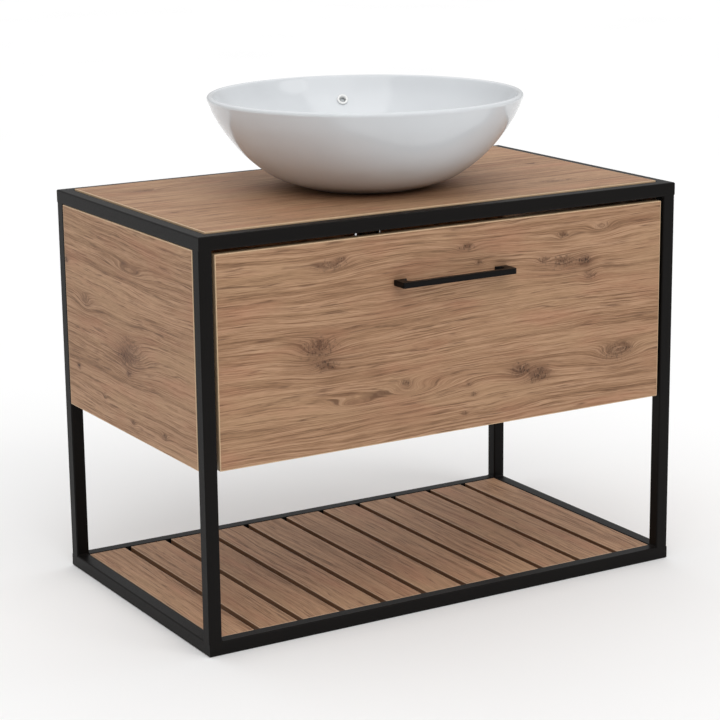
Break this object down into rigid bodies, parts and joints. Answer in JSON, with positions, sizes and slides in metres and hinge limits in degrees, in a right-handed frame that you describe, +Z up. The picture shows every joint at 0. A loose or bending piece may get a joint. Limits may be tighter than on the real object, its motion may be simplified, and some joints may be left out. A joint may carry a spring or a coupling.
{
  "type": "bathroom vanity with vessel basin",
  "caption": "Wall-side vanity: open square-tube frame with a slatted shelf, one wide drawer under a flush wooden top, and a round bowl basin with push-plug waste and bottle trap.",
  "frame": {"origin": "on the floor, under the middle of the object's bounding box", "axes": "+X to the right as a person facing it sees it, +Y towards the wall, +Z up"},
  "size_m": [0.8, 0.496, 0.7331],
  "materials": {
    "powder_coat": "fine satin black powder coat on steel tube",
    "powder_coat_handle": "satin black powder coat on zinc casting",
    "oak_board": "knotty oak decor on melamine-faced board, satin",
    "drawer_board": "plain oak decor on melamine-faced board, satin",
    "zinc_steel": "bright zinc plate on sheet steel",
    "white_glaze": "gloss white glaze on fired clay",
    "chrome_plate": "polished chrome plate on brass",
    "white_plastic": "gloss white moulded plastic",
    "gasket_rubber": "moulded black rubber"
  },
  "bodies": {
    "vanity": {"bottom_rail_front": "powder_coat", "bottom_rail_right": "powder_coat", "bottom_rail_back": "powder_coat", "bottom_rail_left": "powder_coat", "top_rail_front": "powder_coat", "top_rail_right": "powder_coat", "top_rail_back": "powder_coat", "top_rail_left": "powder_coat", "post_front_left": "powder_coat", "post_front_right": "powder_coat", "post_back_left": "powder_coat", "post_back_right": "powder_coat", "shelf_support_front": "powder_coat", "shelf_support_back": "powder_coat", "top_support_left": "powder_coat", "top_support_right": "powder_coat", "shelf_slat_01": "oak_board", "shelf_slat_02": "oak_board", "shelf_slat_03": "oak_board", "shelf_slat_04": "oak_board", "shelf_slat_05": "oak_board", "shelf_slat_06": "oak_board", "shelf_slat_07": "oak_board", "shelf_slat_08": "oak_board", "shelf_slat_09": "oak_board", "shelf_slat_10": "oak_board", "shelf_slat_11": "oak_board", "side_panel_left": "oak_board", "side_panel_right": "oak_board", "worktop": "oak_board", "rear_rail": "oak_board", "wall_hanger_left": "zinc_steel", "wall_hanger_right": "zinc_steel", "runner_cabinet_left": "zinc_steel", "runner_cabinet_right": "zinc_steel", "basin": "white_glaze", "overflow_ring": "white_plastic", "waste_body": "chrome_plate", "waste_gasket": "gasket_rubber", "waste_nut": "chrome_plate", "trap_union_nut": "chrome_plate", "trap_body": "chrome_plate", "trap_cup": "chrome_plate", "trap_outlet_pipe": "chrome_plate", "wall_flange": "chrome_plate"},
    "drawer": {"drawer_front": "oak_board", "drawer_side_left": "drawer_board", "drawer_side_right": "drawer_board", "drawer_back_left": "drawer_board", "drawer_back_right": "drawer_board", "trap_surround": "drawer_board", "drawer_base": "drawer_board", "handle": "powder_coat_handle", "handle_screw_left": "zinc_steel", "handle_screw_right": "zinc_steel", "runner_drawer_left": "zinc_steel", "runner_drawer_right": "zinc_steel"},
    "runner_middle_left": {"runner_middle_left": "zinc_steel"},
    "runner_middle_right": {"runner_middle_right": "zinc_steel"},
    "plug": {"waste_plug": "chrome_plate"}
  },
  "joints": [
    {"name": "drawer_slide", "type": "slide", "parent": "vanity", "child": "drawer", "axis": [0, -1, 0], "range_m": [0, 0.35]},
    {"name": "runner_left_slide", "type": "slide", "parent": "vanity", "child": "runner_middle_left", "axis": [0, -1, 0], "range_m": [0, 0.175]},
    {"name": "runner_right_slide", "type": "slide", "parent": "vanity", "child": "runner_middle_right", "axis": [0, -1, 0], "range_m": [0, 0.175]},
    {"name": "plug_slide", "type": "slide", "parent": "vanity", "child": "plug", "axis": [0, 0, 1], "range_m": [0, 0.008]}
  ],
  "couplings": [
    {"joint": "runner_left_slide", "follows": "drawer_slide", "ratio": 0.5},
    {"joint": "runner_right_slide", "follows": "drawer_slide", "ratio": 0.5}
  ]
}
